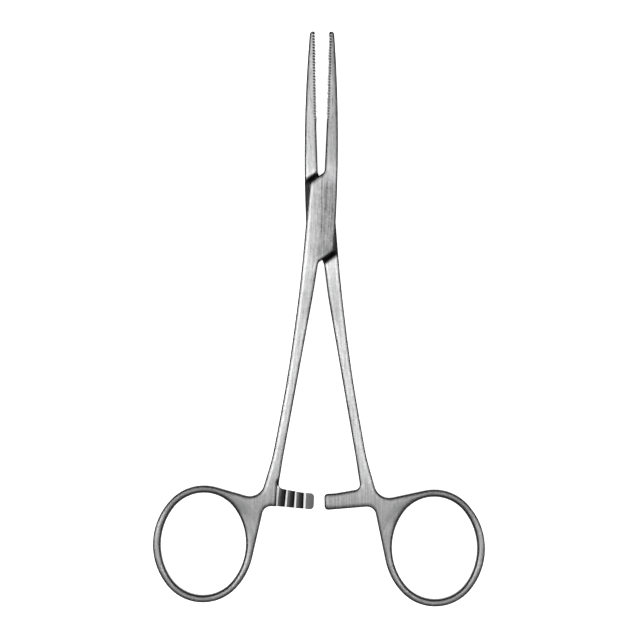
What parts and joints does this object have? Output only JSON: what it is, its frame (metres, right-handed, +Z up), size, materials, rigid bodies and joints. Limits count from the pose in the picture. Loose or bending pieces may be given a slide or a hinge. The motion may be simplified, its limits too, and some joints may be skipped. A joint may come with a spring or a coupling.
{
  "type": "hemostat forceps",
  "caption": "Straight locking clamp forceps with serrated jaws, a box joint, ratchet bars between the shanks and oval finger rings, lying slightly open.",
  "frame": {"origin": "on the pivot axis, level with the outer face of the back cheek, which is the face that the instrument rests on", "axes": "+X across the instrument, +Y along it towards the jaw tips, +Z up out of the front cheek"},
  "size_m": [0.0806, 0.1396, 0.0044],
  "materials": {
    "box_half_steel": "satin stainless steel, ground along its length",
    "tongue_half_steel": "satin stainless steel, ground along its length",
    "pivot_pin_steel": "satin stainless steel, ground flush with the cheeks"
  },
  "bodies": {
    "box_half": {"box_half": "box_half_steel", "pivot_pin": "pivot_pin_steel"},
    "tongue_half": {"tongue_half": "tongue_half_steel"}
  },
  "joints": [
    {"name": "box_lock", "type": "hinge", "parent": "box_half", "child": "tongue_half", "pos_m": [0, 0, 0.0022], "axis": [0, 0, 1], "range_deg": [-4.1, 55]}
  ]
}
